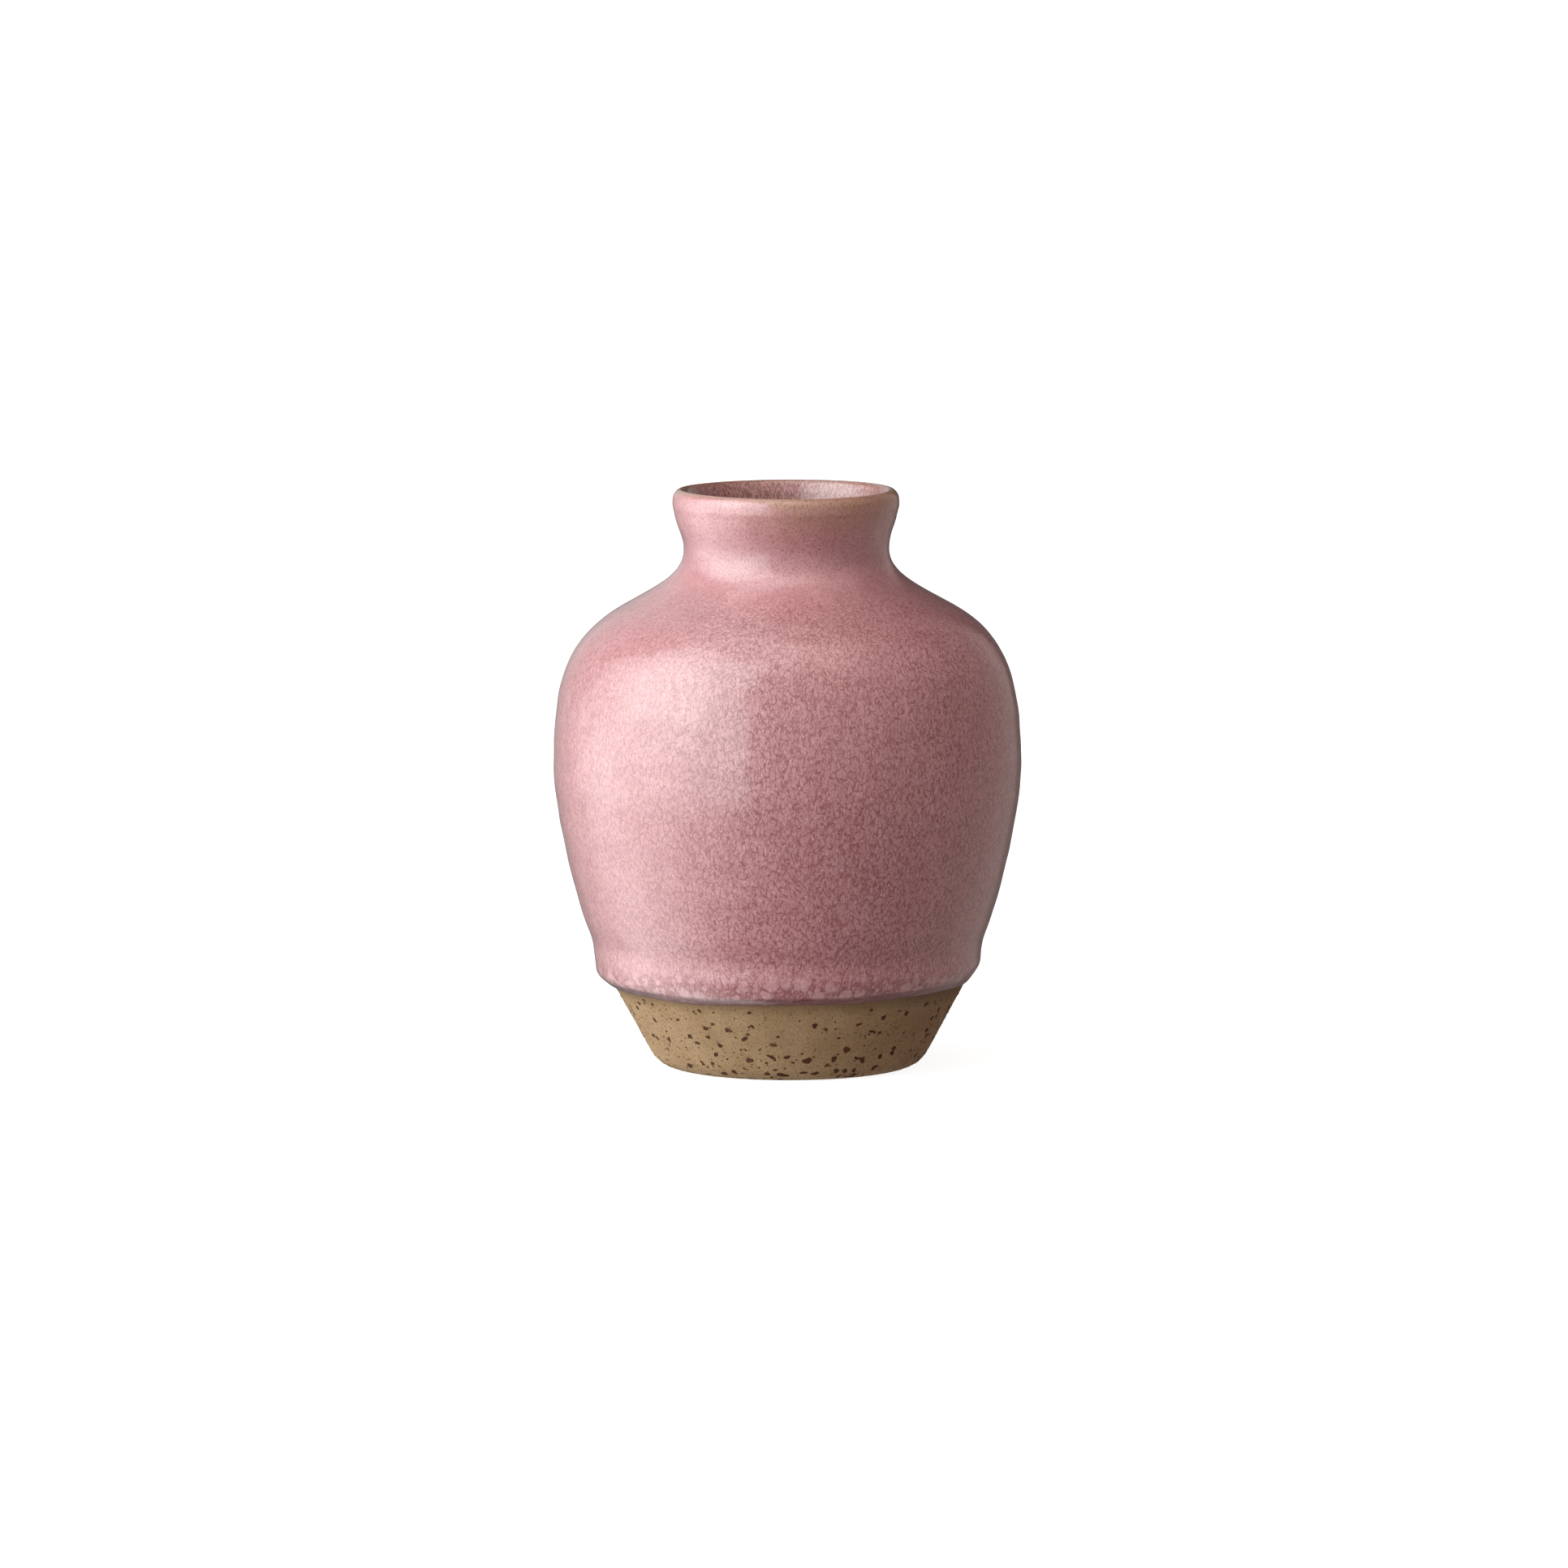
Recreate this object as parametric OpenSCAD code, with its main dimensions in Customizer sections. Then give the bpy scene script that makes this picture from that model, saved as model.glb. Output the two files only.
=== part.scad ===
// Stoneware bud vase: one fired clay shell, glazed outside down to a bare conical foot and
// lined inside with a second coat that meets the first one on the lip. Every piece is turned
// about +Z. The origin is the centre of the foot, on the surface that the vase stands on.
// All diameters and heights of the form are those of the clay, without its glaze.

/* [Foot] */
// Outer diameter of the flat ring that the vase stands on
foot_ring_d = 48.6; // [44:0.2:52]
// Width of that ring
foot_ring_w = 6; // [4:0.5:8]
// Depth of the trimmed recess inside the ring
foot_recess = 1.4; // [0.6:0.1:2.5]
// Radius of the rounded edge between the ring and the flank
foot_edge_r = 6; // [4:0.5:7]
// Lean of the bare flank, in degrees from the vertical
flank_angle = 29; // [27:0.5:31]

/* [Ledge and hip] */
// Diameter of the ledge above the flank
ledge_d = 81.2; // [80:0.2:82]
// Height at which that diameter is measured
ledge_h = 24; // [23.5:0.5:24.5]
// Lean of the ledge, in degrees from the vertical
ledge_angle = 11; // [8:1:12]
// Radius of the rounded corner between flank and ledge
ledge_edge_r = 5; // [4:0.5:6]
// Diameter of the hip, where the wall leaves the ledge and swells out
hip_d = 83.4; // [83:0.2:84]
// Height of the hip
hip_h = 28.5; // [28:0.5:30]
// Lean of the wall at the hip, in degrees from the vertical
hip_angle = 23; // [20:1:25]

/* [Belly and shoulder] */
// Largest diameter of the belly
belly_d = 98.8; // [97:0.2:100]
// Height of the largest diameter
belly_h = 64; // [60:0.5:67]
// Diameter half way up the slope of the shoulder
shoulder_d = 71; // [69:0.5:73]
// Height of that diameter
shoulder_h = 98; // [97:0.5:99]
// Lean of the shoulder, in degrees from the vertical
shoulder_angle = 61; // [58:1:63]

/* [Neck and lip] */
// Diameter of the narrowest part of the neck
throat_d = 42.8; // [42:0.2:44]
// Height of the narrowest part
throat_h = 111; // [110.5:0.5:111.5]
// Diameter of the flared lip where its crest starts to round over
lip_d = 47.6; // [47:0.2:49]
// Height of that diameter
lip_h = 119.9; // [119.5:0.1:120.5]
// Lean of the flare, in degrees from the vertical
lip_flare = 14; // [10:1:18]
// Height of the rounded crest above its own centre
crest_rise = 3; // [2.5:0.1:3.5]
// Width of the crest's outer half
crest_outer_w = 1.3; // [1:0.1:1.6]
// Width of the crest's inner half
crest_inner_w = 1.5; // [1.2:0.1:1.8]

/* [Wall] */
// Thickness of the belly wall
belly_wall = 4.2; // [3.5:0.1:5]
// Thickness of the wall at the throat
throat_wall = 3.4; // [3:0.1:3.8]
// Thickness of the floor, from the surface that the vase stands on
floor_t = 7.5; // [6.5:0.5:9]
// Diameter of the flat middle of the floor
floor_d = 26; // [20:1:30]

/* [Glaze] */
// Thickness of the outer coat
coat_t = 0.6; // [0.5:0.05:0.7]
// Thickness of the coats where they meet on the crest
crest_coat_t = 0.4; // [0.3:0.05:0.5]
// Thickness of the lining
lining_t = 0.5; // [0.4:0.05:0.6]
// Height of the glaze line, where the outer coat ends on the flank
glaze_line_h = 17.3; // [16.5:0.1:17.5]
// Greatest thickness of the rolled edge above the glaze line
roll_t = 0.95; // [0.8:0.05:1.1]
// Distance up the flank over which the edge reaches that thickness
roll_rise = 3; // [2:0.5:3.5]
// Distance over which the roll thins to the coat
roll_fade = 10; // [6:1:12]

/* [Hidden] */
$fn = 128;

foot_r = foot_ring_d / 2;
foot_inner_r = foot_r - foot_ring_w;
// Width of the slope between the recess and the ring.
recess_slope_w = 3;
crest_r = lip_d / 2 - crest_outer_w * cos(lip_flare);
crest_centre_h = lip_h + crest_outer_w * sin(lip_flare);
// Distance over which a coat thins from its full thickness to that on the crest.
crest_fade = 9;

// Directions in the half plane [radius, height]. An angle is measured from the vertical,
// and leans outwards when it is positive.
function along(angle) = [sin(angle), cos(angle)];
function across(angle) = [cos(angle), -sin(angle)];

// Where the line through p at angle a crosses the line through q at angle b.
function crossing(p, a, q, b) = p + along(a) * cross(q - p, along(b)) / cross(along(a), along(b));

function between(p, q, steps) = [for (i = [0:steps]) p + (q - p) * i / steps];

// Part of an ellipse about a centre, from one outward-facing angle to another.
function round_edge(centre, w, h, from, to, steps) = [
    for (i = [0:steps])
        let(n = across(from + (to - from) * i / steps))
        centre + [w * n.x, h * n.y]
];

// Cubic curve from p to q that leaves at angle a and arrives at angle b. The pulls are the
// lengths of its two handles, as shares of the distance from p to q.
function sweep(p, a, q, b, pull_p, pull_q, steps) =
    let(
        reach = norm(q - p),
        p_handle = p + pull_p * reach * along(a),
        q_handle = q - pull_q * reach * along(b)
    )
    [
        for (i = [0:steps])
            let(t = i / steps, s = 1 - t)
            s * s * s * p + 3 * s * s * t * p_handle + 3 * s * t * t * q_handle + t * t * t * q
    ];

// Joins stretches that meet end to start, and keeps each shared point once.
function chain(stretches) = [
    stretches[0][0],
    for (points = stretches)
        for (i = [1:len(points) - 1]) points[i]
];

function reversed(points) = [for (i = [len(points) - 1:-1:0]) points[i]];

// Distance along an outline to each of its points.
function running_length(points) =
    let(steps = [for (i = [1:len(points) - 1]) norm(points[i] - points[i - 1])])
    [for (i = 0, run = 0; i < len(points); run = run + (i < len(steps) ? steps[i] : 0), i = i + 1) run];

// Unit normal at each point, on the right of the direction of travel. The two end normals are given.
function normals(points, first, last) = [
    for (i = [0:len(points) - 1])
        let(t = points[min(i + 1, len(points) - 1)] - points[max(i - 1, 0)])
        i == 0 ? first : i == len(points) - 1 ? last : [t.y, -t.x] / norm(t)
];

function smooth_step(t) = let(u = min(max(t, 0), 1)) u * u * (3 - 2 * u);

// Clay outline, upwards from the foot ring.
flank_start = [foot_r, foot_edge_r] + foot_edge_r * across(flank_angle);
glaze_line = crossing(flank_start, flank_angle, [0, glaze_line_h], 90);
ledge_corner = crossing(
    flank_start - ledge_edge_r * across(flank_angle), flank_angle,
    [ledge_d / 2, ledge_h] - ledge_edge_r * across(ledge_angle), ledge_angle
);
ledge_start = ledge_corner + ledge_edge_r * across(flank_angle);
ledge_end = ledge_corner + ledge_edge_r * across(ledge_angle);
hip = [hip_d / 2, hip_h];
belly = [belly_d / 2, belly_h];
shoulder = [shoulder_d / 2, shoulder_h];
throat = [throat_d / 2, throat_h];
lip = [lip_d / 2, lip_h];
crest_centre = [crest_r, crest_centre_h];

bare_flank = chain([
    round_edge([foot_r, foot_edge_r], foot_edge_r, foot_edge_r, 90, flank_angle, 10),
    [flank_start, glaze_line]
]);

glazed_flank = chain([
    between(glaze_line, ledge_start, 14),
    round_edge(ledge_corner, ledge_edge_r, ledge_edge_r, flank_angle, ledge_angle, 4),
    sweep(ledge_end, ledge_angle, hip, hip_angle, 0.35, 0.35, 6),
    sweep(hip, hip_angle, belly, 0, 0.25, 0.2, 16),
    sweep(belly, 0, shoulder, -shoulder_angle, 0.5, 0.35, 18),
    sweep(shoulder, -shoulder_angle, throat, 0, 0.5, 0.3, 14),
    sweep(throat, 0, lip, lip_flare, 0.4, 0.4, 8),
    round_edge(crest_centre, crest_outer_w, crest_outer_w, lip_flare, 0, 2),
    round_edge(crest_centre, crest_outer_w, crest_rise, 0, -90, 8)
]);

// Clay outline of the inside, upwards from the middle of the floor.
inner_hip = hip - (belly_wall + 0.6) * across(hip_angle);
inner_hip_angle = hip_angle - 3;
inner_belly = belly - [belly_wall, 0];
inner_shoulder = shoulder - belly_wall * across(-shoulder_angle);
inner_throat = throat - [throat_wall, 0];
inner_lip = crest_centre - [crest_inner_w, 0];

inside = chain([
    between([0, floor_t], [floor_d / 2, floor_t], 2),
    sweep([floor_d / 2, floor_t], 90, inner_hip, inner_hip_angle, 0.5, 0.45, 16),
    sweep(inner_hip, inner_hip_angle, inner_belly, 0, 0.3, 0.3, 12),
    sweep(inner_belly, 0, inner_shoulder, -shoulder_angle, 0.5, 0.35, 14),
    sweep(inner_shoulder, -shoulder_angle, inner_throat, 0, 0.5, 0.3, 10),
    sweep(inner_throat, 0, inner_lip, 0, 0.4, 0.4, 10),
    round_edge(crest_centre, -crest_inner_w, crest_rise, 0, -90, 8)
]);

// Outline of the underside, outwards from the middle of the recess and across the foot ring.
recess_edge = [foot_inner_r - recess_slope_w, foot_recess];
ring_edge = [foot_inner_r, 0];
underside = chain([
    [[0, foot_recess], recess_edge],
    sweep(recess_edge, 90, ring_edge, 90, 0.5, 0.5, 6),
    [ring_edge, [foot_r, 0]]
]);

// Surface of the outer coat: it swells from nothing at the glaze line to the rolled edge,
// thins to the coat, and thins again on the way up to the crest.
function outer_coat_t(run, length) =
    let(
        edge = max(1 - run / roll_rise, 0),
        swell = sqrt(1 - edge * edge),
        faded = smooth_step((run - roll_rise) / roll_fade),
        near_crest = smooth_step(1 - (length - run) / crest_fade),
        full = roll_t + (coat_t - roll_t) * faded
    )
    swell * (full + (crest_coat_t - full) * near_crest);

function lining_coat_t(run, length) =
    lining_t + (crest_coat_t - lining_t) * smooth_step(1 - (length - run) / crest_fade);

glazed_runs = running_length(glazed_flank);
glazed_length = glazed_runs[len(glazed_runs) - 1];
glazed_normals = normals(glazed_flank, across(flank_angle), [0, 1]);
outer_coat = [
    for (i = [0:len(glazed_flank) - 1])
        glazed_flank[i] + glazed_normals[i] * outer_coat_t(glazed_runs[i], glazed_length)
];

inside_runs = running_length(inside);
inside_length = inside_runs[len(inside_runs) - 1];
inside_normals = normals(inside, [0, -1], [0, -1]);
lining = [
    for (i = [0:len(inside) - 1])
        inside[i] - inside_normals[i] * lining_coat_t(inside_runs[i], inside_length)
];

// Fired clay shell, with its foot ring, bare flank, ledge, belly, shoulder, neck and lip.
module stoneware_body() {
    color([0.73, 0.61, 0.46])
        rotate_extrude()
            polygon(chain([underside, bare_flank, glazed_flank, reversed(inside)]));
}

// Pink glaze over the outside, from the glaze line to the top of the crest.
module outer_glaze() {
    color([0.86, 0.65, 0.66])
        rotate_extrude()
            polygon(concat(glazed_flank, reversed([for (i = [1:len(outer_coat) - 1]) outer_coat[i]])));
}

// Glaze lining of the inside, from the floor to the top of the crest.
module inner_glaze() {
    color([0.76, 0.56, 0.57])
        rotate_extrude()
            polygon(concat(inside, reversed(lining)));
}

stoneware_body();
outer_glaze();
inner_glaze();
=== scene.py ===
import math

import bmesh
import bpy
import numpy as np
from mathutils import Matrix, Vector, noise


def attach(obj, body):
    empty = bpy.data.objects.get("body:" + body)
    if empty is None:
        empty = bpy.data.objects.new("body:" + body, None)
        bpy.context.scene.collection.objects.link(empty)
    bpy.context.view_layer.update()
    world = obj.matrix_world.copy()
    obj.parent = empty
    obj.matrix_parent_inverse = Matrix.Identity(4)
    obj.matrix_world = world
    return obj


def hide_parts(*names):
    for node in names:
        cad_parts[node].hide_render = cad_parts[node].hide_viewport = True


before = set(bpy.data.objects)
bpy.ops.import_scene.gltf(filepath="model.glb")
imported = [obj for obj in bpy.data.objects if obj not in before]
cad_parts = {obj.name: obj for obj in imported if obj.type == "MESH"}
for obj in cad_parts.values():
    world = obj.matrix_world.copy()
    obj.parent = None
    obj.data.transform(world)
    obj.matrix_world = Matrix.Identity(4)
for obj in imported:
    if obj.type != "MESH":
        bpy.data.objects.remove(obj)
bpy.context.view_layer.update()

MM = 0.001
BODY = "root"
# Every random draw comes from here, in a fixed order.
RNG = np.random.default_rng(11)


# ---------------------------------------------------------------------------
# Outlines, read from the CAD solids. An outline is a list of points
# (radius, height) in millimetres, in order round a node's section.
# ---------------------------------------------------------------------------

# The outline keeps a corner where it turns by more than this.
CORNER = math.radians(28)
# Vertices that agree to this many decimals of a mm are one point of the section, and points of the
# outline closer than this, in mm, are one too.
SAME_DECIMALS = 2
SAME_POINT = 0.03
# Measuring points along a smooth part, for each point that it has.
MEASURES = 30


def section_loop(node):
    """The outline of a turned node. It starts at its lowest point, or at its lower end on the axis."""
    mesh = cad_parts[node].data
    co = np.empty(len(mesh.vertices) * 3)
    mesh.vertices.foreach_get("co", co)
    co = co.reshape(-1, 3) / MM
    keys = np.round(np.c_[np.hypot(co[:, 0], co[:, 1]), co[:, 2]], SAME_DECIMALS)
    points, index = np.unique(keys, axis=0, return_inverse=True)
    index = index.reshape(-1)
    edges = np.empty(len(mesh.edges) * 2, dtype=int)
    mesh.edges.foreach_get("vertices", edges)
    pairs = index[edges.reshape(-1, 2)]
    neighbours = {i: set() for i in range(len(points))}
    for a, b in pairs[pairs[:, 0] != pairs[:, 1]]:
        neighbours[a].add(b)
        neighbours[b].add(a)
    ends = [i for i, near in neighbours.items() if len(near) == 1]
    start = min(ends or neighbours, key=lambda i: (points[i, 1], points[i, 0]))
    order = [start]
    while True:
        onward = [i for i in neighbours[order[-1]] if i not in order]
        if not onward:
            break
        order.append(max(onward, key=lambda i: points[i, 0]))
    kept = [points[order[0]]]
    for point in points[order[1:]]:
        if np.linalg.norm(point - kept[-1]) > SAME_POINT:
            kept.append(point)
    return np.array(kept)


def lengths(points):
    """Distance along a polyline to each of its points."""
    return np.r_[0, np.cumsum(np.linalg.norm(np.diff(points, axis=0), axis=1))]


def resample(points, at):
    """Points of a smooth curve through a polyline, at the given distances along it. It keeps inside
    the polyline's own box, so that a flat foot stays flat."""
    run = lengths(points)
    if len(points) < 4:
        return np.c_[np.interp(at, run, points[:, 0]), np.interp(at, run, points[:, 1])]
    tangent = np.gradient(points, run, axis=0, edge_order=2)
    i = np.clip(np.searchsorted(run, at, side="right") - 1, 0, len(run) - 2)
    step = (run[i + 1] - run[i])[:, None]
    t = (np.asarray(at) - run[i])[:, None] / step
    curve = (
        (2 * t**3 - 3 * t**2 + 1) * points[i]
        + (t**3 - 2 * t**2 + t) * step * tangent[i]
        + (3 * t**2 - 2 * t**3) * points[i + 1]
        + (t**3 - t**2) * step * tangent[i + 1]
    )
    return np.clip(curve, points.min(axis=0), points.max(axis=0))


def smooth_parts(points):
    """A polyline cut at its corners into parts that curve smoothly."""
    heading = np.unwrap(np.arctan2(*np.diff(points, axis=0).T))
    corners = np.flatnonzero(abs(np.diff(heading)) > CORNER) + 1
    cuts = [0, *corners, len(points) - 1]
    return [points[a : b + 1] for a, b in zip(cuts, cuts[1:])]


def rings(points, step):
    """The outline with its points spread afresh. step(height) is the distance between two of them."""
    spread = []
    for part in smooth_parts(points):
        run = lengths(part)
        fine = np.linspace(0, run[-1], MEASURES * len(part))
        height = np.interp(fine, run, part[:, 1])
        count = np.r_[0, np.cumsum(np.diff(fine) / step(height[1:]))]
        at = np.interp(np.linspace(0, count[-1], max(1, round(count[-1])) + 1), count, fine)
        spread.append(resample(part, at)[:-1])
    return np.vstack([*spread, points[-1:]])


def steps(*pairs):
    """A function of height that runs straight from each (height, step) pair to the next."""
    heights, values = np.array(pairs, float).T
    return lambda height: np.interp(height, heights, values)


def closed_on_axis(loop):
    """The outline with its two ends carried in to the axis."""
    return np.vstack([(0, loop[0, 1]), loop, (0, loop[-1, 1])])


# ---------------------------------------------------------------------------
# Handmade form. Every piece gets the same warp, so the coats stay on the clay.
# ---------------------------------------------------------------------------

# Where the form stands out or falls back, on each side and all round: height, reach up and down,
# push, all in mm. Those near 20 are the glaze ledge, which hangs lower on the left than on the right.
# The one at 97 is the left shoulder, which is flatter, and the others are at the lip.
BULGES_LEFT = ((19.9, 1.7, 0.95), (97, 8, -0.6), (115, 2.5, 0.25))
BULGES_RIGHT = ((22.5, 1.8, 0.15), (19.6, 1.5, -0.2))
BULGES_ROUND = ((122.3, 1, 0.15), (119, 1.5, -0.12))
# How far the axis has drifted to the left at each height, in mm.
LEAN = ((0, 0.05), (16, 0.1), (23, 0.42), (64, 0.47), (100, 0.55), (124, 0.82))
# Throwing rings: how far they stand out and their spacing, in mm. They climb one spacing per turn.
RING_RISE = 0.03
RING_PITCH = 9.5
# How far the form is out of round and the lip out of level, in mm, and which way, in radians.
OVAL = 0.12
OVAL_TURN = 0.8
LIP_WAVE = 0.08
LIP_TURN = 2.2
# Heights, in mm, between which the rings and the oval come in above the foot, and between which the
# lip begins.
ABOVE_FOOT = (0, 14)
LIP = (118, 122)
# Radii, in mm, between which the warp comes in, so that the middle of the floor stays whole.
OFF_AXIS = (4, 18)


def smooth_step(start, end, x):
    """0 where x is at start and 1 where it is at end, smoothly between."""
    t = np.clip((x - start) / (end - start), 0, 1)
    return t * t * (3 - 2 * t)


def humps(bulges, height):
    """How far a list of bulges pushes the form out at each height."""
    return sum(push * np.exp(-(((height - centre) / reach) ** 2)) for centre, reach, push in bulges)


def warp(points):
    """Moves points, in mm, to where the hand-thrown vase has them."""
    x, y, z = points.T
    angle = np.arctan2(x, -y)
    radius = np.hypot(x, y)
    above_foot = smooth_step(*ABOVE_FOOT, z)
    lip = smooth_step(*LIP, z)
    throwing = RING_RISE * np.sin(2 * math.pi * z / RING_PITCH + angle) * above_foot * (1 - lip)
    oval = OVAL * np.cos(2 * angle + OVAL_TURN) * above_foot
    left = np.clip(-np.sin(angle), 0, 1) ** 2
    right = np.clip(np.sin(angle), 0, 1) ** 2
    bulges = left * humps(BULGES_LEFT, z) + right * humps(BULGES_RIGHT, z) + humps(BULGES_ROUND, z)
    grown = radius + (throwing + oval + bulges) * smooth_step(*OFF_AXIS, radius)
    lean = np.interp(z, *np.array(LEAN).T)
    lip_wave = LIP_WAVE * (np.cos(2 * angle + LIP_TURN) - 1) * lip
    return np.c_[grown * np.sin(angle) - lean, -grown * np.cos(angle), z + lip_wave]


# ---------------------------------------------------------------------------
# Meshes
# ---------------------------------------------------------------------------

# Edges that turn by more than this are drawn sharp.
SHARP = math.radians(50)
# Points nearer the axis than this, in mm, are on it.
ON_AXIS = 1e-6
# Each seed reads the noise from its own place, this far on from the one before.
SEED_STEP = (7.3, 3.1, 5.7)


def new_piece(name, vertices, faces, material, node):
    """A mesh piece, from vertices in mm, that rides on the vase and stands for a CAD node."""
    mesh = bpy.data.meshes.new(name)
    mesh.from_pydata((np.asarray(vertices) * MM).tolist(), [], faces)
    edit = bmesh.new()
    edit.from_mesh(mesh)
    bmesh.ops.recalc_face_normals(edit, faces=edit.faces)
    edit.to_mesh(mesh)
    edit.free()
    mesh.shade_smooth()
    mesh.set_sharp_from_angle(angle=SHARP)
    mesh.materials.append(material)
    piece = bpy.data.objects.new(name, mesh)
    bpy.context.scene.collection.objects.link(piece)
    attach(piece, BODY)
    if node:
        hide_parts(node)
    return piece


def turn(outline, segments):
    """Vertices and faces of a closed outline turned about +Z. Ends on the axis close at a point."""
    angles = np.arange(segments) * 2 * math.pi / segments
    round_ = np.c_[np.sin(angles), -np.cos(angles)]
    on_axis = outline[:, 0] < ON_AXIS
    vertices, rows = [], []
    for (radius, height), pole in zip(outline, on_axis):
        first = len(vertices)
        if pole:
            vertices.append((0, 0, height))
            rows.append([first] * segments)
        else:
            vertices.extend((radius * c, radius * s, height) for c, s in round_)
            rows.append(list(range(first, first + segments)))
    if not on_axis.any():
        rows.append(rows[0])
    faces = []
    for low, high in zip(rows, rows[1:]):
        for i in range(segments):
            j = (i + 1) % segments
            corners = list(dict.fromkeys((low[i], low[j], high[j], high[i])))
            if len(corners) > 2:
                faces.append(corners)
    return np.array(vertices, float), faces


def store(piece, name, values):
    """Keeps one number for each vertex, for the piece's material to read."""
    attribute = piece.data.attributes.new(name, "FLOAT", "POINT")
    attribute.data.foreach_set("value", np.asarray(values, np.float32))


def uneven(points, size, depth, seed):
    """Soft random relief, in mm, for each point."""
    shift = Vector([seed * step for step in SEED_STEP])
    return depth * np.array([noise.noise(Vector(p) / size + shift) for p in points])


def pushed_out(points, amounts):
    """The points moved away from the axis, each by its own amount in mm."""
    outward = np.c_[points[:, :2], np.zeros(len(points))]
    outward /= np.maximum(np.linalg.norm(outward, axis=1), ON_AXIS)[:, None]
    return points + outward * amounts[:, None]


# ---------------------------------------------------------------------------
# Node trees
# ---------------------------------------------------------------------------

def linear(hex_code):
    """A colour written as rrggbb, as the shader wants it."""
    parts = [int(hex_code[i : i + 2], 16) / 255 for i in (0, 2, 4)]
    return [p / 12.92 if p <= 0.04045 else ((p + 0.055) / 1.055) ** 2.4 for p in parts] + [1]


class Tree:
    """Short calls that each add one node and give back its output."""

    def __init__(self, node_tree):
        self.nodes = node_tree.nodes
        self.links = node_tree.links
        self.nodes.clear()

    def add(self, kind, inputs, **settings):
        node = self.nodes.new(kind)
        for key, value in settings.items():
            setattr(node, key, value)
        for key, value in inputs.items():
            if isinstance(value, bpy.types.NodeSocket):
                self.links.new(value, node.inputs[key])
            else:
                node.inputs[key].default_value = value
        return node

    def math(self, operation, a, b=0):
        return self.add("ShaderNodeMath", {0: a, 1: b}, operation=operation).outputs[0]

    def plus(self, a, b):
        return self.math("ADD", a, b)

    def times(self, a, b):
        return self.math("MULTIPLY", a, b)

    def either(self, a, b):
        return self.math("MAXIMUM", a, b)

    def fade(self, value, start, end, low=0, high=1):
        """low where value is at start, high where it is at end, smoothly between."""
        values = {"Value": value, "From Min": start, "From Max": end, "To Min": low, "To Max": high}
        return self.add("ShaderNodeMapRange", values, interpolation_type="SMOOTHSTEP").outputs[0]

    def move(self, operation, a, b):
        return self.add("ShaderNodeVectorMath", {0: a, 1: b}, operation=operation).outputs[0]

    def mix(self, amount, a, b):
        """Colour a, turning into colour b as amount goes from 0 to 1."""
        return self.add("ShaderNodeMix", {0: amount, 6: a, 7: b}, data_type="RGBA").outputs[2]

    def place(self):
        """Where the surface is, in mm, in the vase's own frame."""
        spot = self.add("ShaderNodeTexCoord", {}).outputs["Object"]
        return self.move("MULTIPLY", spot, (1 / MM,) * 3)

    def split(self, vector):
        return self.add("ShaderNodeSeparateXYZ", {0: vector}).outputs

    def attribute(self, name):
        return self.add("ShaderNodeAttribute", {}, attribute_name=name).outputs["Fac"]

    def noise(self, place, size, detail=2, rough=0.5):
        """Clouds about size mm across, from 0 to 1."""
        values = {"Vector": place, "Scale": 1 / size, "Detail": detail, "Roughness": rough}
        return self.add("ShaderNodeTexNoise", values).outputs["Fac"]

    def shaken(self, place, size, reach):
        """place, pushed about by up to reach mm in clouds of that size."""
        values = {"Vector": place, "Scale": 1 / size, "Detail": 1}
        cloud = self.add("ShaderNodeTexNoise", values).outputs["Color"]
        centred = self.move("SUBTRACT", cloud, (0.5, 0.5, 0.5))
        return self.move("ADD", place, self.move("MULTIPLY", centred, (2 * reach,) * 3))

    def cells(self, place, size, feature="DISTANCE_TO_EDGE", output="Distance"):
        """Random cells about size mm across. The feature says what is measured in them."""
        values = {"Vector": place, "Scale": 1 / size}
        return self.add("ShaderNodeTexVoronoi", values, feature=feature).outputs[output]

    def bump(self, height, depth):
        """A relief of depth mm where height is 1."""
        values = {"Height": height, "Distance": depth * MM, "Strength": 1}
        return self.add("ShaderNodeBump", values).outputs[0]

    def finish(self, **surface):
        """The shader itself. The names are the sockets', with _ for a space."""
        values = {key.replace("_", " "): value for key, value in surface.items()}
        shader = self.add("ShaderNodeBsdfPrincipled", values)
        self.add("ShaderNodeOutputMaterial", {0: shader.outputs[0]})


def material(name):
    """A new material, and its node tree to fill."""
    made = bpy.data.materials.new(name)
    made.use_nodes = True
    return made, Tree(made.node_tree)


# ---------------------------------------------------------------------------
# Materials
# ---------------------------------------------------------------------------

PINK = linear("c69092")
ROSE = linear("b77e80")
MAUVE = linear("a57076")
VEIN = linear("814244")
PALE_SPOT = linear("dcaeb0")
ROLL = linear("602829")
# A painted highlight: the light thread along the lower edge of the roll.
ROLL_EDGE_GLINT = linear("cf8f95")
BREAK = linear("a67c60")
BREAK_DARK = linear("5c3a2e")
LINING_STREAK = linear("6c3c38")
CLAY = linear("997957")
CLAY_LIGHT = linear("a38463")
CLAY_DARK = linear("6f543c")
IRON = linear("40200f")
IRON_VEILED = linear("5f3f28")
# The glaze is glass: its refractive index, for the surface and for the clear layer over it.
GLAZE_IOR = 1.6
# How deep the finest relief of each surface goes, in mm.
GLAZE_RELIEF = 0.025
CLAY_RELIEF = 0.05
IRON_RELIEF = 0.02


def upright(tree, place, squeeze, shift=0):
    """place for a pattern drawn out up and down, 1 / squeeze times as high as it is wide."""
    return tree.move("ADD", tree.move("MULTIPLY", place, (1, 1, squeeze)), (shift, 0, 0))


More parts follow.
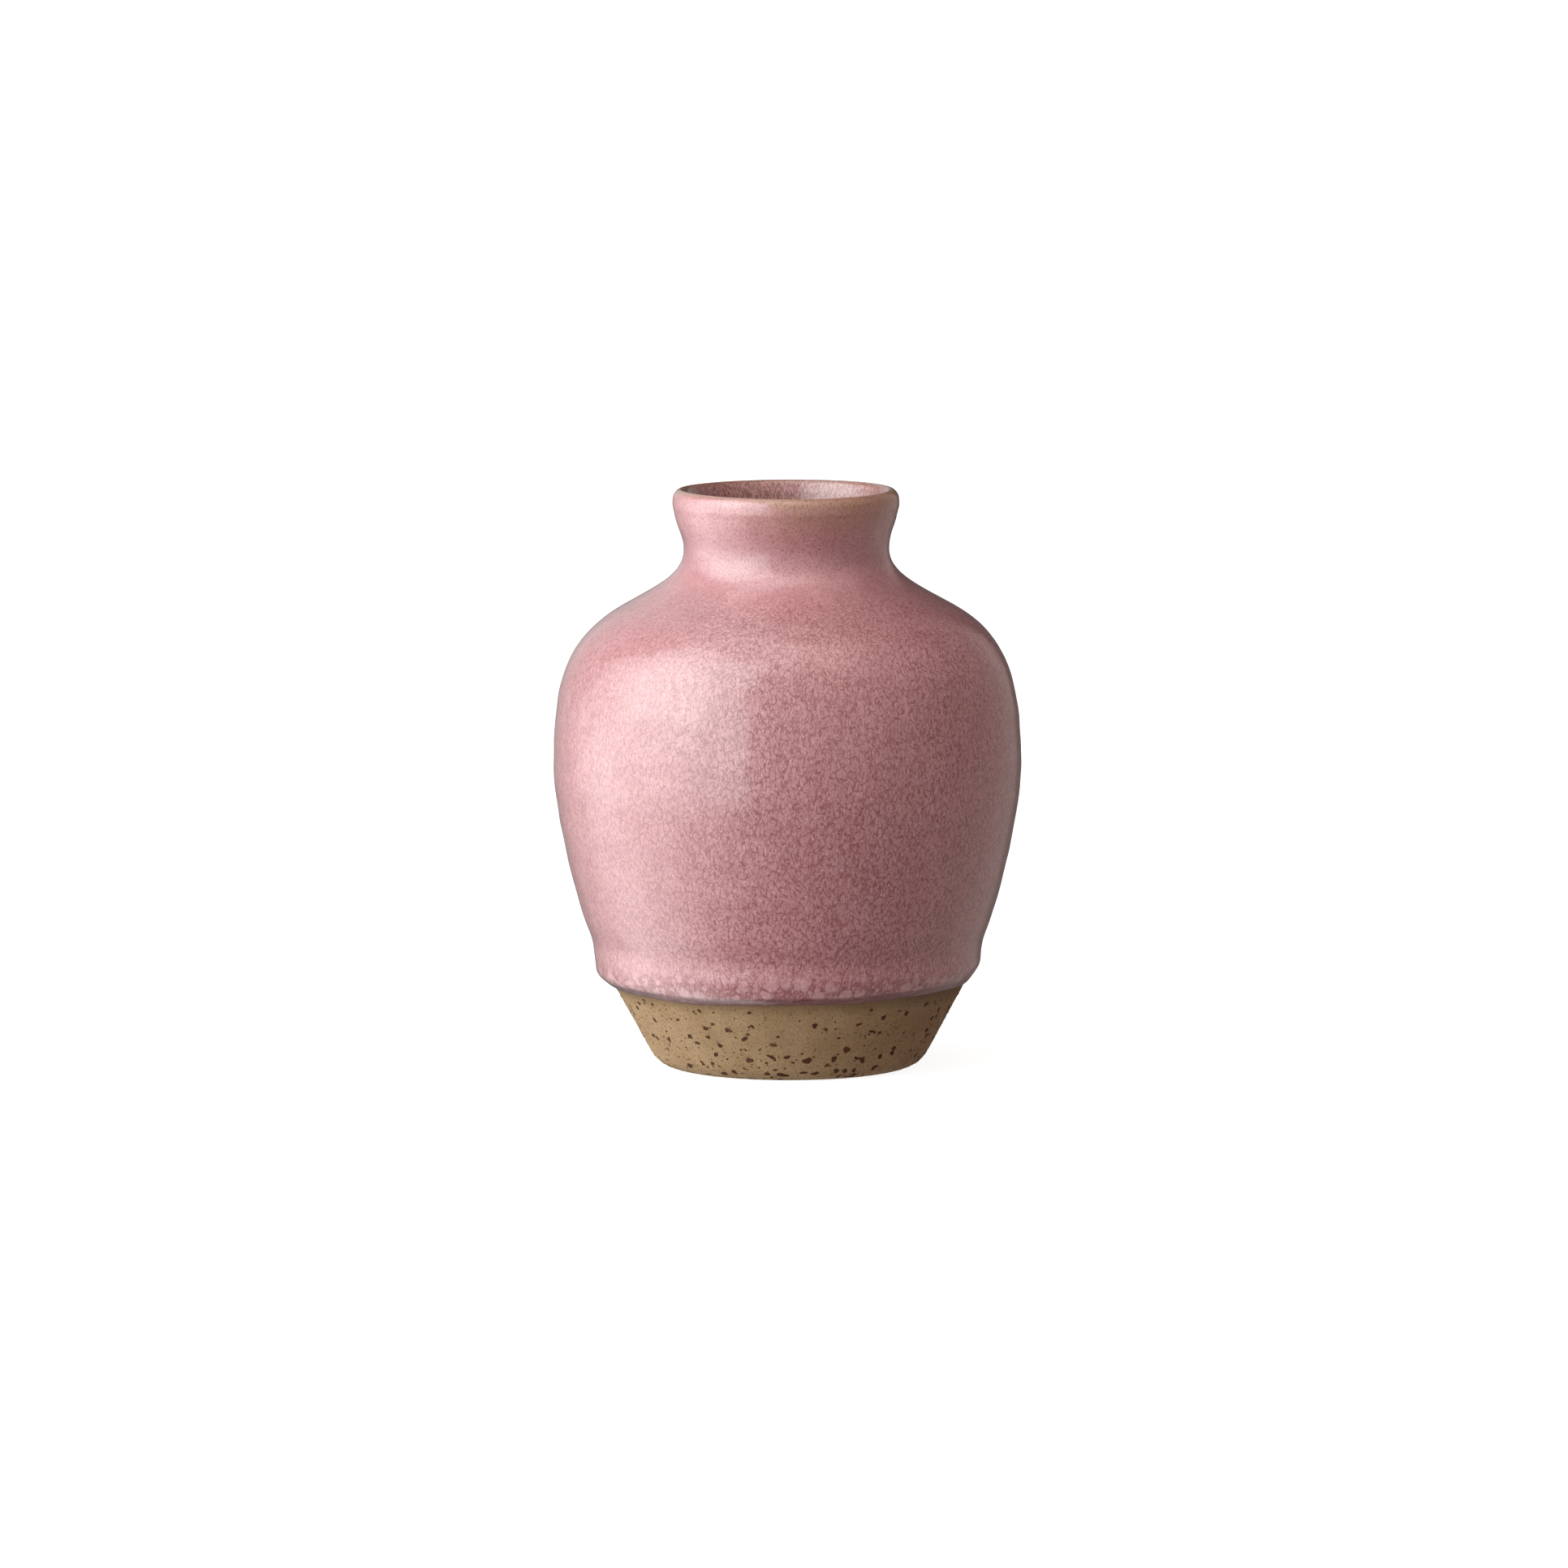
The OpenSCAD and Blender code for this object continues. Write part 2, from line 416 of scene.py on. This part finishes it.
def veins(tree, place, size, width, wiggle):
    """1 on the thin wandering lines between the curds of the glaze, each about size mm across."""
    shaken = tree.shaken(place, size * 0.45, wiggle)
    return tree.fade(tree.cells(shaken, size), width / size, 0)


def worms(tree, place, size, width):
    """1 on short curling lines."""
    level = tree.math("ABSOLUTE", tree.math("SUBTRACT", tree.noise(place, size, 3, 0.6), 0.5))
    return tree.fade(level, width, 0)


def curdled_colour(tree, place, height):
    """The colour of pink curds with short dark marks between them, and the marks. Finer on the neck."""
    up_neck = tree.fade(height, 99, 108)
    low_part = tree.math("SUBTRACT", 1, up_neck)
    broken = tree.fade(tree.noise(upright(tree, place, 0.7, 40), 0.7, 2, 0.6), 0.36, 0.54)
    sparse = tree.fade(tree.noise(upright(tree, place, 0.6, 70), 0.9, 2, 0.6), 0.42, 0.58)
    coarse = tree.times(veins(tree, upright(tree, place, 0.5), 1.05, 0.17, 0.36), broken)
    curls = tree.times(worms(tree, upright(tree, place, 0.42, 15), 0.8, 0.06), sparse)
    pits = tree.fade(tree.noise(upright(tree, place, 0.5, 25), 0.3, 3, 0.7), 0.46, 0.32)
    grain = tree.fade(tree.noise(upright(tree, place, 0.4, 65), 0.26, 2, 0.7), 0.62, 0.36, 0, 0.4)
    low = tree.either(tree.either(coarse, curls), tree.either(tree.times(pits, 0.9), grain))
    high = tree.fade(tree.noise(upright(tree, place, 0.8), 0.36, 3, 0.7), 0.52, 0.34, 0, 0.75)
    marks = tree.plus(tree.times(low, low_part), tree.times(high, up_neck))
    # Painted highlight: the marks are drawn fainter towards the left, where the key light's broad reflection
    # lies.
    across = tree.plus(tree.split(place)[0], tree.times(tree.noise(place, 20, 1), 16))
    marks = tree.times(marks, tree.fade(across, 0, -26, 0.93, 0.62))
    patches = tree.noise(upright(tree, place, 0.5), 4.5, 2)
    ground = tree.mix(tree.fade(patches, 0.25, 0.75, 0.2, 0.8), ROSE, PINK)
    dusk = tree.fade(tree.noise(upright(tree, place, 0.5, 90), 1.2, 3, 0.6), 0.4, 0.7, 0, 0.3)
    ground = tree.mix(dusk, ground, MAUVE)
    # Painted shade: the glaze is drawn a little darker in the hollow of the neck.
    painted_neck_shade = tree.times(tree.fade(height, 105, 110), tree.fade(height, 116, 112))
    ground = tree.mix(tree.times(painted_neck_shade, 0.5), ground, MAUVE)
    flecks = tree.fade(tree.noise(upright(tree, place, 0.5, 55), 0.3, 2, 0.6), 0.55, 0.68, 0, 0.7)
    ground = tree.mix(tree.times(flecks, low_part), ground, PALE_SPOT)
    pin = tree.fade(tree.cells(tree.shaken(place, 1, 0.15), 6.5, "F1"), 0.045, 0.025)
    marks = tree.either(marks, pin)
    return tree.mix(marks, ground, VEIN), marks


def spots(tree, place, size, largest):
    """1 inside soft-edged round spots, at most one to a cell size mm wide. largest is a share of it."""
    centre = tree.cells(place, size, "F1")
    random = tree.split(tree.cells(place, size, "F1", "Color"))[0]
    radius = tree.fade(random, 0.05, 0.8, 0, largest)
    return tree.fade(tree.math("SUBTRACT", radius, centre), -0.1, 0.14)


def thin_at_lip(tree, place, colour, share):
    """colour, with the clay's own tan showing through by share, in streaks with dark specks."""
    streak = tree.noise(upright(tree, place, 0.3), 0.6, 3, 0.65)
    patchy = tree.times(share, tree.fade(streak, 0.3, 0.6, 1.15, 0.7))
    specks = tree.fade(tree.noise(upright(tree, place, 0.45, 30), 0.4, 3, 0.65), 0.5, 0.64, 0, 0.8)
    return tree.mix(patchy, colour, tree.mix(specks, BREAK, BREAK_DARK))


def finish_glaze(tree, place, colour, marks, roughness):
    """The surface that both coats of glaze share. The marks lie a little deeper than the curds."""
    relief = tree.plus(tree.times(marks, -1), tree.noise(place, 0.8, 2))
    tree.finish(
        Base_Color=colour,
        Roughness=roughness,
        IOR=GLAZE_IOR,
        Specular_IOR_Level=0.3,
        Coat_Weight=1.0,
        Coat_Roughness=0.14,
        Coat_IOR=GLAZE_IOR,
        Normal=tree.bump(relief, GLAZE_RELIEF),
    )


def outer_glaze_material():
    """Pink curds, with spots and a dark roll along the lower edge, run thin along the lip."""
    made, tree = material("curdled_pink_glaze")
    place = tree.place()
    across, _, height = tree.split(place)
    above = tree.attribute("above_line")
    colour, marks = curdled_colour(tree, place, height)

    # Pale round spots gather in the thick glaze above the rolled edge.
    spot_place = tree.shaken(upright(tree, place, 0.9), 1.4, 0.3)
    large = spots(tree, spot_place, 3.1, 0.46)
    small = spots(tree, tree.move("ADD", spot_place, (50, 0, 0)), 1.4, 0.46)
    near = tree.times(tree.fade(above, 11, 4.5), tree.fade(above, 0.6, 1.6))
    curds = veins(tree, tree.move("ADD", spot_place, (20, 0, 0)), 1.5, 0.22, 0.35)
    colour = tree.mix(tree.times(curds, tree.fade(above, 9, 5, 0, 0.55)), colour, VEIN)
    colour = tree.mix(tree.times(tree.either(large, small), tree.times(near, 0.46)), colour, PALE_SPOT)

    # The roll itself is thick and dark, with streaks along it and a painted highlight at its edge: a light
    # thread where its underside would catch the light.
    streaks = tree.noise(tree.move("MULTIPLY", place, (0.35, 0.35, 3)), 1.2, 3, 0.6)
    roll = tree.times(tree.fade(above, 3.2, 2.1), tree.fade(streaks, 0.3, 0.65, 1, 0.65))
    colour = tree.mix(roll, colour, ROLL)
    # Painted highlight along the very edge of the roll.
    colour = tree.mix(tree.fade(above, 0.42, 0.12, 0, 0.8), colour, ROLL_EDGE_GLINT)

    # Along the lip the glaze has run thin, most of all to the right of the front.
    side = tree.fade(tree.plus(across, tree.times(tree.noise(place, 9, 2), 12)), -5, 5)
    reach = tree.plus(height, tree.fade(side, 0, 1, -1.9, 0.3))
    crest = tree.fade(reach, 120.4, 122.1, 0, 0.95)
    tint = tree.times(tree.fade(height, 113, 120), tree.times(side, 0.6))
    colour = thin_at_lip(tree, place, colour, tree.either(crest, tint))

    finish_glaze(tree, place, colour, marks, tree.fade(tree.noise(place, 3), 0.3, 0.7, 0.36, 0.46))
    return made


def inner_glaze_material():
    """The same curds, run thin in dark streaks towards the lip."""
    made, tree = material("streaked_lining_glaze")
    place = tree.place()
    height = tree.split(place)[2]
    colour, marks = curdled_colour(tree, place, height)
    streak = tree.noise(upright(tree, place, 0.22), 0.6, 3, 0.65)
    share = tree.times(tree.fade(height, 102, 116, 0.2, 0.5), tree.fade(streak, 0.3, 0.65, 1, 0.35))
    crest = tree.fade(height, 122.3, 123.3, 0, 0.8)
    colour = thin_at_lip(tree, place, colour, tree.either(share, crest))
    fine = tree.noise(upright(tree, place, 0.25, 10), 0.4, 3, 0.7)
    colour = tree.mix(tree.fade(fine, 0.58, 0.42, 0.05, 0.8), colour, LINING_STREAK)
    finish_glaze(tree, place, colour, marks, tree.fade(streak, 0.3, 0.7, 0.34, 0.46))
    return made


def clay_material():
    """Bare buff clay with fine grain and iron dust."""
    made, tree = material("bare_stoneware")
    place = tree.place()
    height = tree.split(place)[2]
    grain = tree.noise(place, 0.36, 3, 0.7)
    cloud = tree.noise(place, 7, 2)
    colour = tree.mix(tree.fade(cloud, 0.35, 0.65), CLAY, CLAY_LIGHT)
    colour = tree.mix(tree.fade(grain, 0.46, 0.66, 0, 0.7), colour, CLAY_DARK)
    # Iron dust lies in the clay between the grains.
    shaken = tree.shaken(place, 0.4, 0.08)
    dots = tree.cells(shaken, 0.62, "F1")
    chance = tree.split(tree.cells(shaken, 0.62, "F1", "Color"))[0]
    dot_size = tree.fade(chance, 0.6, 1, 0, 0.2)
    pepper = tree.fade(tree.math("SUBTRACT", dot_size, dots), -0.05, 0.05)
    colour = tree.mix(tree.times(pepper, 0.9), colour, IRON_VEILED)
    # Painted shadow under the glaze ledge, partly the kiln's flashing too: the clay is drawn darker just
    # below the glaze.
    colour = tree.mix(tree.fade(height, 14.5, 17.6, 0, 0.6), colour, CLAY_DARK)
    relief = tree.plus(grain, tree.noise(place, 1.6, 2))
    tree.finish(
        Base_Color=colour,
        Roughness=tree.fade(grain, 0.3, 0.7, 0.78, 0.92),
        Specular_IOR_Level=0.3,
        Normal=tree.bump(relief, CLAY_RELIEF),
    )
    return made


def iron_material():
    """Dark iron grains, some veiled by the clay's own slip."""
    made, tree = material("iron_grain")
    place = tree.place()
    veil = tree.attribute("veil")
    mottle = tree.noise(place, 0.35, 3, 0.6)
    colour = tree.mix(tree.fade(mottle, 0.35, 0.75, 0, 0.35), IRON, IRON_VEILED)
    colour = tree.mix(veil, colour, IRON_VEILED)
    tree.finish(
        Base_Color=colour,
        Roughness=tree.fade(mottle, 0.3, 0.7, 0.6, 0.85),
        Specular_IOR_Level=0.2,
        Normal=tree.bump(mottle, IRON_RELIEF),
    )
    return made


# ---------------------------------------------------------------------------
# The stoneware body
# ---------------------------------------------------------------------------

CLAY_SEGMENTS = 280
# The roughness of bare clay, in two layers: size and depth in mm, and a seed.
CLAY_UNEVEN = ((2.2, 0.05, 1), (0.9, 0.02, 2))
# It comes in above the face that the vase rests on and goes out under the glaze, at these heights.
ROUGH_FROM = (0.4, 1.2)
ROUGH_TO = (17, 15)

clay_loop = section_loop("stoneware_body")
clay_step = steps((0, 0.4), (16, 0.6), (20, 1.5), (118, 1.5), (120, 0.6))
clay_vertices, clay_faces = turn(rings(closed_on_axis(clay_loop), clay_step), CLAY_SEGMENTS)
clay_height = clay_vertices[:, 2]
clay_relief = sum(uneven(clay_vertices, *layer) for layer in CLAY_UNEVEN)
bare = smooth_step(*ROUGH_TO, clay_height) * smooth_step(*ROUGH_FROM, clay_height)
clay_vertices = pushed_out(clay_vertices, clay_relief * bare)
new_piece(
    "thrown_stoneware_body", warp(clay_vertices), clay_faces, clay_material(),
    "stoneware_body",
)


# ---------------------------------------------------------------------------
# The outer glaze, with its wavy rolled edge
# ---------------------------------------------------------------------------

COAT_SEGMENTS = 480
# The unevenness of the glaze, in two layers: size and depth in mm, and a seed.
COAT_UNEVEN = ((3.2, 0.05, 3), (1.5, 0.018, 4))
# How far the bare flank leans out.
FLANK = math.radians(29)
# The glaze line along the flank, in mm: its rise at the front, what is added to the right and taken
# off to the left, and what is added on both sides.
LINE_FRONT = 0.35
LINE_TILT = 0.6
LINE_SIDES = 0.55
# Its waves: rise in mm, waves per turn, and start in radians.
LINE_WAVES = ((0.16, 3, 0.7), (0.12, 7, 2.1), (0.07, 13, 0))

coat_loop = section_loop("outer_glaze")
LINE_H = coat_loop[0, 1]
# The coat slides along with its edge below the second of these heights, and less and less up to the
# first, in mm.
SLIDE_FADES = (LINE_H + 5, LINE_H + 1)
coat_step = steps((17, 0.2), (19, 0.35), (26, 0.6), (110, 0.75), (119, 0.5), (121, 0.3))
coat_rings = rings(coat_loop, coat_step)
coat_vertices, coat_faces = turn(coat_rings, COAT_SEGMENTS)


def line_shift(angle):
    """How far the glaze line lies above its mean height, in mm along the flank."""
    waves = sum(rise * np.sin(count * angle + start) for rise, count, start in LINE_WAVES)
    return LINE_FRONT + LINE_TILT * np.sin(angle) + LINE_SIDES * np.sin(angle) ** 2 + waves


def edge_wave(points):
    """Slides the coat's lower edge up and down the flank."""
    x, y, z = points.T
    angle = np.arctan2(x, -y)
    slide = line_shift(angle) * smooth_step(*SLIDE_FADES, z)
    out = slide * math.sin(FLANK)
    return points + np.c_[out * np.sin(angle), -out * np.cos(angle), slide * math.cos(FLANK)]


outside = np.arange(len(coat_rings)) <= np.argmax(coat_rings[:, 1])
above_line = np.where(outside, lengths(coat_rings), 0)
coat_height = coat_vertices[:, 2]
coat_relief = sum(uneven(coat_vertices, *layer) for layer in COAT_UNEVEN)
# The relief keeps off the rolled edge and off the crest of the lip, where the two glazes meet.
settled = smooth_step(LINE_H + 0.3, LINE_H + 2, coat_height) * smooth_step(123, 121, coat_height)
coat_relief = coat_relief * settled * np.repeat(outside, COAT_SEGMENTS)
coat_vertices = pushed_out(coat_vertices, coat_relief)
outer_coat = new_piece(
    "outer_glaze_coat", warp(edge_wave(coat_vertices)), coat_faces, outer_glaze_material(),
    "outer_glaze",
)
store(outer_coat, "above_line", np.repeat(above_line, COAT_SEGMENTS))


# ---------------------------------------------------------------------------
# The lining
# ---------------------------------------------------------------------------

LINING_SEGMENTS = 300

lining_loop = closed_on_axis(section_loop("inner_glaze"))
lining_step = steps((8, 1.2), (100, 1.2), (112, 0.6), (120, 0.3))
lining_vertices, lining_faces = turn(rings(lining_loop, lining_step), LINING_SEGMENTS)
new_piece(
    "inner_glaze_lining", warp(lining_vertices), lining_faces, inner_glaze_material(),
    "inner_glaze",
)


# ---------------------------------------------------------------------------
# Iron grains in the clay, each a low closed lens with an uneven outline
# ---------------------------------------------------------------------------

# The outside of the clay from the foot up to its widest point, without the foot's inner edge, and the
# distance along it.
foot = int(np.argmin(clay_loop[:, 1]))
widest = int(np.argmax(clay_loop[:, 0]))
flank = clay_loop[foot:widest]
flank = flank[flank[:, 0] > flank[:, 0].min() + 1e-3]
flank_run = lengths(flank)
# How far ahead the slope of the flank is measured, in mm.
AHEAD = 0.05
# Grains keep this far up from the foot, so that none stands proud of the face the vase rests on.
FOOT_RUN = 1.0
# They end this far below the height where the glaze begins. Both are in mm.
LINE_GAP = 0.3
BARE_RUN = float(np.interp(LINE_H, flank[:, 1], flank_run)) - LINE_GAP

# A grain's rings, from its rim up: the share of its outline and the lift off the clay, in mm. Its top
# and its bottom are single points.
GRAIN_RINGS = ((1.0, -0.08), (1.0, 0.035), (0.6, 0.065))
GRAIN_TOP = 0.075
GRAIN_BOTTOM = -0.1
# How uneven its outline is, as shares of its radius: waves round it with their height, and roughness.
GRAIN_WAVES = ((2, 0.16), (3, 0.12))
GRAIN_ROUGHNESS = 0.09

# The biggest grains: degrees round from the front, mm up the flank, length, width, tilt in degrees.
LARGE_GRAINS = (
    (7, 8.5, 1.9, 1.8, 30),
    (-3, 4.5, 2.4, 1.4, -10),
    (-16, 8.5, 1.6, 1.4, 20),
    (-7, 9.5, 2.2, 0.7, -25),
    (-1, 9.5, 1.3, 1.0, 15),
    (-30, 9.5, 1.4, 0.9, 70),
    (-33, 7.0, 1.2, 0.8, 10),
    (-24, 5.0, 1.4, 1.1, -30),
    (-27, 12.0, 1.2, 1.0, 0),
    (-17, 2.0, 1.7, 0.7, -20),
    (20, 5.5, 1.4, 1.2, 40),
    (30, 8.5, 1.8, 0.7, 10),
    (27, 3.0, 1.9, 0.7, 0),
    (45, 9.0, 1.3, 1.1, -30),
    (38, 5.5, 1.6, 1.1, 50),
    (31, 15.5, 1.8, 0.6, 0),
    (-52, 12.0, 1.5, 0.8, 80),
)
LARGE_SIDES = 16
# The scattered grains: how many, the least and greatest length in mm, and the sides of the outline.
SCATTERED = ((400, 0.5, 1.7, 12), (1700, 0.16, 0.45, 7))
# The higher this power, the more of them are small.
SMALL_POWER = 2.6


def flank_point(run):
    """Radius and height of the flank at a distance along it."""
    return np.c_[np.interp(run, flank_run, flank[:, 0]), np.interp(run, flank_run, flank[:, 1])]


def on_flank(angle, run, lift):
    """Points of the bare flank, lifted off it. Angle is in radians, run and lift in mm."""
    here = flank_point(run)
    ahead = flank_point(run + AHEAD)
    slope = (ahead - here) / np.linalg.norm(ahead - here, axis=1)[:, None]
    radius = here[:, 0] + lift * slope[:, 1]
    return np.c_[radius * np.sin(angle), -radius * np.cos(angle), here[:, 1] - lift * slope[:, 0]]


def grain_shape(angle, run, length, width, tilt, sides):
    """Vertices of one grain: its rings from the buried rim up, then its top and its bottom."""
    turns = np.arange(sides) * 2 * math.pi / sides
    wobble = np.ones(sides)
    for count, height in GRAIN_WAVES:
        wobble += height * np.sin(count * turns + RNG.uniform(0, 6))
    wobble += RNG.uniform(-GRAIN_ROUGHNESS, GRAIN_ROUGHNESS, sides)
    across = 0.5 * length * wobble * np.cos(turns)
    up = 0.5 * width * wobble * np.sin(turns)
    u = across * math.cos(tilt) - up * math.sin(tilt)
    v = across * math.sin(tilt) + up * math.cos(tilt)
    radius = np.interp(run, flank_run, flank[:, 0])
    rows = [on_flank(angle + share * u / radius, run + share * v, lift) for share, lift in GRAIN_RINGS]
    rows += [on_flank(angle, run, lift) for lift in (GRAIN_TOP, GRAIN_BOTTOM)]
    return np.vstack(rows)


def grain_faces(first, sides):
    """Faces of one grain, whose vertices begin at first."""
    rim, shoulder, crown = first, first + sides, first + 2 * sides
    top, bottom = first + 3 * sides, first + 3 * sides + 1
    faces = []
    for i in range(sides):
        j = (i + 1) % sides
        faces.append((rim + i, rim + j, shoulder + j, shoulder + i))
        faces.append((shoulder + i, shoulder + j, crown + j, crown + i))
        faces.append((crown + i, crown + j, top))
        faces.append((rim + j, rim + i, bottom))
    return faces


def scatter(count, small, large, sides):
    """Grains at random places on the bare clay, mostly small ones."""
    made = []
    for _ in range(count):
        length = small + (large - small) * RNG.random() ** SMALL_POWER
        width = length * RNG.uniform(0.45, 1)
        run = RNG.uniform(FOOT_RUN + 0.5 * length, BARE_RUN - 0.5 * length)
        made.append((RNG.uniform(-180, 180), run, length, width, RNG.uniform(-60, 60), sides))
    return made


def veiled():
    """How much of the clay's own slip veils a grain, as a share. One grain in four is well veiled."""
    if RNG.random() < 0.25:
        return RNG.uniform(0.3, 0.9)
    return RNG.uniform(0, 0.2)


grains = [(*grain, LARGE_SIDES) for grain in LARGE_GRAINS]
for kind in SCATTERED:
    grains += scatter(*kind)
grain_vertices, grain_face_list, veil = [], [], []
for angle, run, length, width, tilt, sides in grains:
    first = len(grain_vertices)
    shape = grain_shape(math.radians(angle), run, length, width, math.radians(tilt), sides)
    grain_vertices.extend(shape)
    grain_face_list.extend(grain_faces(first, sides))
    veil.extend([veiled()] * len(shape))
iron = new_piece(
    "iron_grains", warp(np.array(grain_vertices)), grain_face_list, iron_material(), None,
)
store(iron, "veil", veil)


# ---------------------------------------------------------------------------
# Camera, floor and studio light
# ---------------------------------------------------------------------------

# The photo's view: distance in metres, elevation in degrees, the width that the frame shows at that
# distance, and the point it is centred on, both in metres.
CAMERA_DISTANCE = 2.5
CAMERA_ELEVATION = 6.8
FRAME_WIDTH = 0.3348
AIM = Vector((-0.0012, 0, 0.0603))
SENSOR = 36
CLIP_END = 50


def studio_camera():
    """A long lens a little above the vase, and colours shown as they are."""
    data = bpy.data.cameras.new("camera")
    data.sensor_width = SENSOR
    data.lens = SENSOR * CAMERA_DISTANCE / FRAME_WIDTH
    data.clip_end = CLIP_END
    camera = bpy.data.objects.new("camera", data)
    up = math.radians(CAMERA_ELEVATION)
    camera.location = AIM + Vector((0, -math.cos(up), math.sin(up))) * CAMERA_DISTANCE
    camera.rotation_euler = (AIM - camera.location).to_track_quat("-Z", "Y").to_euler()
    bpy.context.scene.collection.objects.link(camera)
    bpy.context.scene.camera = camera
    bpy.context.scene.view_settings.view_transform = "Standard"


studio_camera()

# Azimuths and elevations of the light are in degrees. Azimuth 0 is the camera's side, and 90 the
# vase's right.

# The light from the left is a little cooler than the light from the right, and turns between these
# azimuths.
COOL_SIDE = (0.94, 1, 1, 1)
WARM_SIDE = (1, 0.85, 0.8, 1)
COOL_TO_WARM = (-10.8, 28.8)

# The room's own light: for each of five elevations, the level at each azimuth. It is bright low on the
# left and overhead, and dark right behind the vase.
ROOM = {
    -50: ((-180, 0.1), (-130, 0.8), (-100, 2.2), (-75, 1.4), (-45, 0.1), (-20, 0.03), (40, 0.03), (90, 0.35),
          (130, 0.35), (180, 0.1)),
    -14: ((-180, 0.15), (-155, 0.25), (-130, 0.6), (-100, 2.2), (-65, 2.0), (-40, 1.3), (-15, 0.6),
          (0, 0.4), (40, 0.2), (90, 0.4), (125, 0.5), (150, 0.4), (160, 0.15), (180, 0.15)),
    10: ((-180, 0.1), (-172, 0.5), (-160, 0.6), (-137, 0.3), (-120, 0), (-90, 0.25), (-55, 1.0), (-25, 1.0),
         (-17, 0.7), (15, 0.75), (50, 0.5), (80, 0.2), (105, 0.3), (130, 0.35), (153, 0.5), (160, 0.05),
         (180, 0.1)),
    45: ((-180, 0.5), (-172, 1.0), (-160, 0.6), (-137, 0.4), (-120, 0.1), (-90, 0.4), (-55, 0.9), (-25, 0.9),
         (-17, 0.6), (0, 0.8), (40, 0.75), (80, 0.45), (110, 0.25), (135, 0), (158, 0.03), (170, 0.05),
         (180, 0.5)),
    75: ((-180, 0.5), (-150, 1.1), (-120, 1.4), (-90, 1.6), (-45, 1.7), (0, 2.2), (45, 1.9), (90, 0.9),
         (135, 0.15), (180, 0.5)),
}
ROOM_PEAK = 2.2
# All of the levels above are turned down by this share.
ROOM_SHARE = 0.95
# The wide key light on the left, and its brighter middle: where the soft edges start and end in
# azimuth and in elevation, and the radiance added inside them.
KEY_LIGHTS = (
    (((-142, -98), (-21, -17)), ((-24, 3), (62, 67)), 1.8),
    (((-106, -86), (-56, -22)), ((-4, 14), (40, 66)), 1.8),
)
# A slant cuts off the upper rear corner of both: its elevation at azimuth 0, its rise per degree, and
# how far over and under it the soft edge reaches.
SLANT_START = 222
SLANT_RISE = 1.57
SLANT_SOFT = (2, -1)
WHITE = (1, 1, 1, 1)


def between(tree, value, edges):
    """1 between two soft edges, 0 outside them."""
    (start, full), (last, end) = edges
    return tree.times(tree.fade(value, start, full), tree.fade(value, end, last))


def room_row(tree, turn_share, stops):
    """One row of ROOM, as a share of ROOM_PEAK. turn_share goes from 0 to 1 once round the room."""
    ramp = tree.add("ShaderNodeValToRGB", {0: turn_share})
    elements = ramp.color_ramp.elements
    while len(elements) < len(stops):
        elements.new(0.5)
    for element, (azimuth, level) in zip(elements, stops):
        element.position = azimuth / 360 + 0.5
        element.color = (level / ROOM_PEAK,) * 3 + (1,)
    return ramp.outputs[0]


def room_light(tree, azimuth, elevation):
    """The rows of ROOM, smoothly mixed from each elevation to the next."""
    turn_share = tree.plus(tree.times(azimuth, 1 / 360), 0.5)
    heights = list(ROOM)
    light = room_row(tree, turn_share, ROOM[heights[0]])
    for lower, upper in zip(heights, heights[1:]):
        row = room_row(tree, turn_share, ROOM[upper])
        light = tree.mix(tree.fade(elevation, lower, upper), light, row)
    return light


def key_light(tree, azimuth, elevation):
    """The radiance of both KEY_LIGHTS, under the slant."""
    over_slant = tree.math("SUBTRACT", elevation, tree.times(azimuth, SLANT_RISE))
    over, under = SLANT_SOFT
    kept = tree.fade(over_slant, SLANT_START + over, SLANT_START + under)
    total = 0
    for azimuths, elevations, radiance in KEY_LIGHTS:
        patch = tree.times(between(tree, azimuth, azimuths), between(tree, elevation, elevations))
        total = tree.plus(total, tree.times(tree.times(patch, kept), radiance))
    return total


def studio_world():
    """White to the camera, and the room's light to everything else."""
    world = bpy.data.worlds.new("studio")
    world.use_nodes = True
    bpy.context.scene.world = world
    tree = Tree(world.node_tree)
    x, y, z = tree.split(tree.add("ShaderNodeTexCoord", {}).outputs["Generated"])
    azimuth = tree.times(tree.math("ARCTAN2", x, tree.times(y, -1)), math.degrees(1))
    elevation = tree.times(tree.math("ARCSINE", z), math.degrees(1))
    room = tree.times(room_light(tree, azimuth, elevation), ROOM_PEAK * ROOM_SHARE)
    strength = tree.plus(room, key_light(tree, azimuth, elevation))
    tint = tree.mix(tree.fade(azimuth, *COOL_TO_WARM), COOL_SIDE, WARM_SIDE)
    light = tree.add("ShaderNodeBackground", {"Color": tint, "Strength": strength})
    white = tree.add("ShaderNodeBackground", {"Color": WHITE, "Strength": 1.0})
    seen = tree.add("ShaderNodeLightPath", {}).outputs["Is Camera Ray"]
    both = tree.add("ShaderNodeMixShader", {0: seen, 1: light.outputs[0], 2: white.outputs[0]})
    tree.add("ShaderNodeOutputWorld", {0: both.outputs[0]})


studio_world()


FLOOR_RADIUS = 12
FLOOR_GREY = (0.3, 0.3, 0.3, 1)
FLOOR_GLOW = 0.9


def studio_floor():
    """A pale floor, bright enough to run into the white background. It lights nothing else."""
    bpy.ops.mesh.primitive_circle_add(vertices=96, radius=FLOOR_RADIUS, fill_type="NGON")
    floor = bpy.context.object
    floor.name = "floor"
    floor.visible_diffuse = False
    floor.visible_glossy = False
    floor.visible_shadow = False
    made, tree = material("pale_floor")
    tree.finish(
        Base_Color=FLOOR_GREY,
        Roughness=1.0,
        Specular_IOR_Level=0.0,
        Emission_Color=WHITE,
        Emission_Strength=FLOOR_GLOW,
    )
    floor.data.materials.append(made)


studio_floor()
